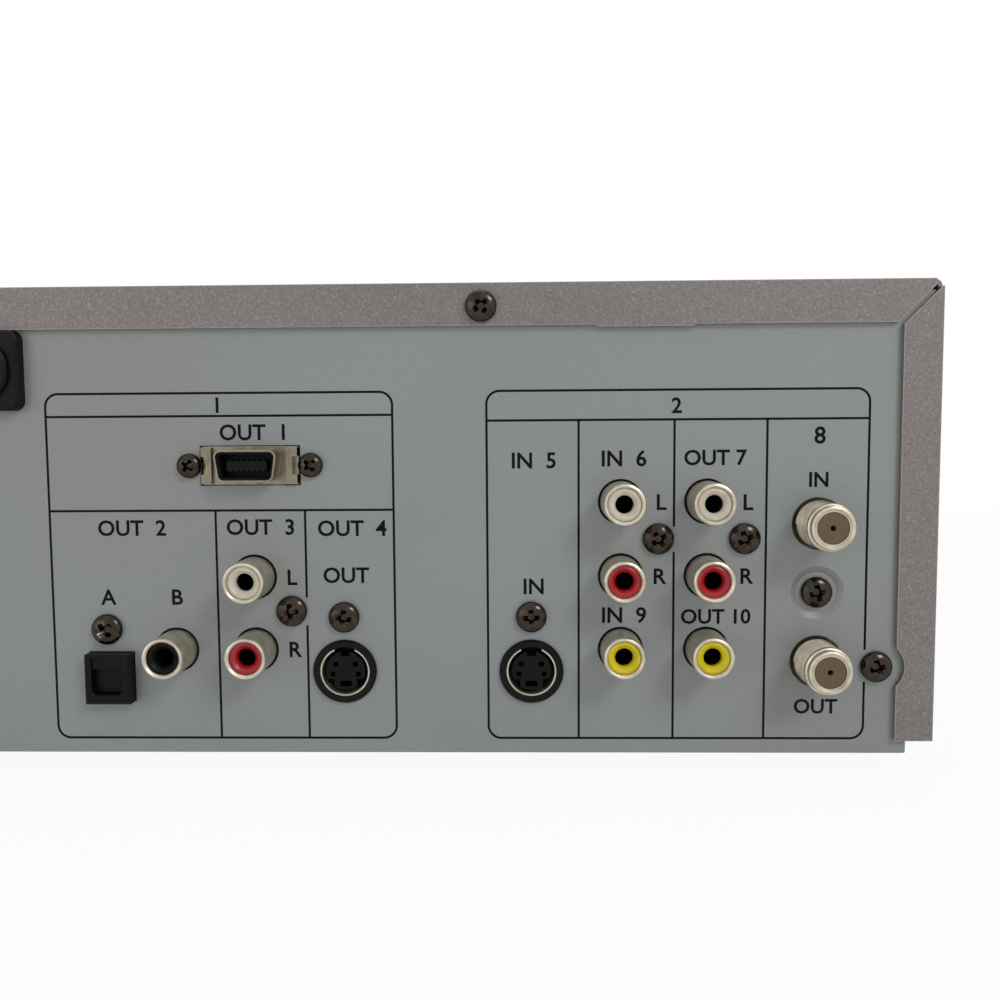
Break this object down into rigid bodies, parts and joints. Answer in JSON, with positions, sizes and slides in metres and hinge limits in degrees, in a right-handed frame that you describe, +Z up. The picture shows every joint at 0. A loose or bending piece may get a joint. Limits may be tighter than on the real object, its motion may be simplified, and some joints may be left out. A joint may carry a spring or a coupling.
{
  "type": "dvd vcr combo player",
  "caption": "Disc and cassette combination player seen mostly from its rear panel of phono, mini-DIN, optical, component and antenna sockets.",
  "frame": {"origin": "middle of the whole player's footprint, at the feet's undersides", "axes": "+Z up, -Y towards the front face, +X to the right seen from the front"},
  "size_m": [0.4338, 0.35, 0.1],
  "materials": {
    "cover_steel": "metallic beige-grey paint, fine sparkle",
    "panel_steel": "matt blue-grey paint",
    "chassis_steel": "zinc-plated sheet",
    "front_plastic": "painted silver moulding",
    "smoked_plastic": "smoked acrylic",
    "rubber": "moulded rubber",
    "board": "printed circuit board",
    "dark_screw": "black nickel",
    "nickel": "warm nickel plate",
    "black_plastic": "black moulded plastic",
    "white_plastic": "cream white plastic",
    "red_plastic": "red plastic",
    "yellow_plastic": "yellow plastic",
    "brown_plastic": "brown insulator",
    "button_plastic": "painted silver keys",
    "tin_plate": "tin-plated can",
    "deck_steel": "zinc-plated deck",
    "drum_aluminium": "turned aluminium",
    "machined_steel": "ground steel",
    "brass": "brass pins",
    "tray_plastic": "dark grey tray",
    "loader_plastic": "black moulding",
    "roller_rubber": "ground rubber",
    "reel_plastic": "white acetal",
    "transformer_core": "laminated core"
  },
  "bodies": {
    "case": {"top_cover": "cover_steel", "rear_panel": "panel_steel", "bottom_chassis": "chassis_steel", "feet": "rubber", "front_panel": "front_plastic", "display_window": "smoked_plastic", "front_board": "board", "side_screws": "dark_screw", "rear_screws": "dark_screw", "left_jack_block": "black_plastic", "in_jack_block": "black_plastic", "out_jack_block": "black_plastic", "phono_shells": "nickel", "coax_jack": "black_plastic", "front_jack_block": "black_plastic", "din_bodies": "black_plastic", "din_rings": "nickel", "optical_jack": "black_plastic", "component_shell": "nickel", "component_insert": "black_plastic", "component_screws": "dark_screw", "mains_inlet": "black_plastic", "inlet_pins": "brass", "tuner_can": "tin_plate", "antenna_sockets": "nickel", "dielectrics": "brown_plastic", "white_inserts": "white_plastic", "red_inserts": "red_plastic", "yellow_inserts": "yellow_plastic", "main_board": "board", "power_board": "board", "transformer": "transformer_core", "deck_plate": "deck_steel", "lower_drum": "drum_aluminium", "loader_frame": "loader_plastic"},
    "power_button": {"power_button": "button_plastic"},
    "tape_eject_button": {"tape_eject_button": "button_plastic"},
    "tape_rewind_button": {"tape_rewind_button": "button_plastic"},
    "tape_play_button": {"tape_play_button": "button_plastic"},
    "tape_forward_button": {"tape_forward_button": "button_plastic"},
    "disc_open_button": {"disc_open_button": "button_plastic"},
    "disc_play_button": {"disc_play_button": "button_plastic"},
    "disc_stop_button": {"disc_stop_button": "button_plastic"},
    "cassette_flap": {"cassette_flap": "front_plastic"},
    "optical_shutter": {"optical_shutter": "black_plastic"},
    "slider": {"carriage_slider": "deck_steel"},
    "carriage": {"cassette_carriage": "deck_steel"},
    "supply_reel": {"supply_reel": "reel_plastic"},
    "takeup_reel": {"takeup_reel": "reel_plastic"},
    "upper_drum": {"upper_drum": "drum_aluminium"},
    "capstan": {"capstan": "machined_steel"},
    "pinch_arm": {"pinch_arm": "deck_steel"},
    "pinch_roller": {"pinch_roller": "roller_rubber"},
    "tray": {"disc_tray": "tray_plastic", "tray_fascia": "front_plastic"},
    "clamp_puck": {"clamp_puck": "loader_plastic"},
    "traverse": {"traverse": "loader_plastic", "guide_rods": "machined_steel"},
    "pickup": {"pickup_sled": "tray_plastic"},
    "turntable": {"turntable": "tray_plastic"}
  },
  "joints": [
    {"name": "power_button_press", "type": "slide", "parent": "case", "child": "power_button", "axis": [0, 1, 0], "range_m": [0, 0.0008], "stiffness_N_per_m": 400, "springref_m": -0.0004},
    {"name": "tape_eject_button_press", "type": "slide", "parent": "case", "child": "tape_eject_button", "axis": [0, 1, 0], "range_m": [0, 0.0008], "stiffness_N_per_m": 400, "springref_m": -0.0004},
    {"name": "tape_rewind_button_press", "type": "slide", "parent": "case", "child": "tape_rewind_button", "axis": [0, 1, 0], "range_m": [0, 0.0008], "stiffness_N_per_m": 400, "springref_m": -0.0004},
    {"name": "tape_play_button_press", "type": "slide", "parent": "case", "child": "tape_play_button", "axis": [0, 1, 0], "range_m": [0, 0.0008], "stiffness_N_per_m": 400, "springref_m": -0.0004},
    {"name": "tape_forward_button_press", "type": "slide", "parent": "case", "child": "tape_forward_button", "axis": [0, 1, 0], "range_m": [0, 0.0008], "stiffness_N_per_m": 400, "springref_m": -0.0004},
    {"name": "disc_open_button_press", "type": "slide", "parent": "case", "child": "disc_open_button", "axis": [0, 1, 0], "range_m": [0, 0.0008], "stiffness_N_per_m": 400, "springref_m": -0.0004},
    {"name": "disc_play_button_press", "type": "slide", "parent": "case", "child": "disc_play_button", "axis": [0, 1, 0], "range_m": [0, 0.0008], "stiffness_N_per_m": 400, "springref_m": -0.0004},
    {"name": "disc_stop_button_press", "type": "slide", "parent": "case", "child": "disc_stop_button", "axis": [0, 1, 0], "range_m": [0, 0.0008], "stiffness_N_per_m": 400, "springref_m": -0.0004},
    {"name": "flap_swing", "type": "hinge", "parent": "case", "child": "cassette_flap", "pos_m": [-0.106, -0.17225, 0.0859], "axis": [1, 0, 0], "range_deg": [0, 80], "stiffness_Nm_per_rad": 0.02, "springref_deg": -5.73},
    {"name": "shutter_swing", "type": "hinge", "parent": "case", "child": "optical_shutter", "pos_m": [-0.048, 0.1667, 0.02415], "axis": [-1, 0, 0], "range_deg": [0, 75], "stiffness_Nm_per_rad": 0.0003, "springref_deg": -5.73},
    {"name": "carriage_in", "type": "slide", "parent": "case", "child": "slider", "axis": [0, 1, 0], "range_m": [0, 0.06]},
    {"name": "carriage_down", "type": "slide", "parent": "slider", "child": "carriage", "axis": [0, 0, -1], "range_m": [0, 0.018]},
    {"name": "supply_spin", "type": "hinge", "parent": "case", "child": "supply_reel", "pos_m": [-0.152, -0.033, 0.0212], "axis": [0, 0, 1], "continuous": true},
    {"name": "takeup_spin", "type": "hinge", "parent": "case", "child": "takeup_reel", "pos_m": [-0.06, -0.033, 0.0212], "axis": [0, 0, 1], "continuous": true},
    {"name": "drum_spin", "type": "hinge", "parent": "case", "child": "upper_drum", "pos_m": [-0.106, 0.062, 0.0267], "axis": [0, -0.1028, 0.9947], "continuous": true},
    {"name": "capstan_spin", "type": "hinge", "parent": "case", "child": "capstan", "pos_m": [-0.062, 0.01, 0.0212], "axis": [0, 0, 1], "continuous": true},
    {"name": "pinch_swing", "type": "hinge", "parent": "case", "child": "pinch_arm", "pos_m": [-0.038, 0.026, 0.0212], "axis": [0, 0, 1], "range_deg": [-25, 0]},
    {"name": "pinch_spin", "type": "hinge", "parent": "pinch_arm", "child": "pinch_roller", "pos_m": [-0.04519, 0.00499, 0.0212], "axis": [0, 0, 1], "continuous": true},
    {"name": "tray_slide", "type": "slide", "parent": "case", "child": "tray", "axis": [0, -1, 0], "range_m": [0, 0.135]},
    {"name": "puck_spin", "type": "hinge", "parent": "case", "child": "clamp_puck", "pos_m": [0.126, -0.095, 0.086], "axis": [0, 0, 1], "continuous": true},
    {"name": "traverse_tilt", "type": "hinge", "parent": "case", "child": "traverse", "pos_m": [0.126, 0.004, 0.061], "axis": [-1, 0, 0], "range_deg": [-4.5, 0]},
    {"name": "pickup_slide", "type": "slide", "parent": "traverse", "child": "pickup", "axis": [0, 1, 0], "range_m": [0, 0.034]},
    {"name": "turntable_spin", "type": "hinge", "parent": "traverse", "child": "turntable", "pos_m": [0.126, -0.095, 0.0625], "axis": [0, 0, 1], "continuous": true}
  ]
}
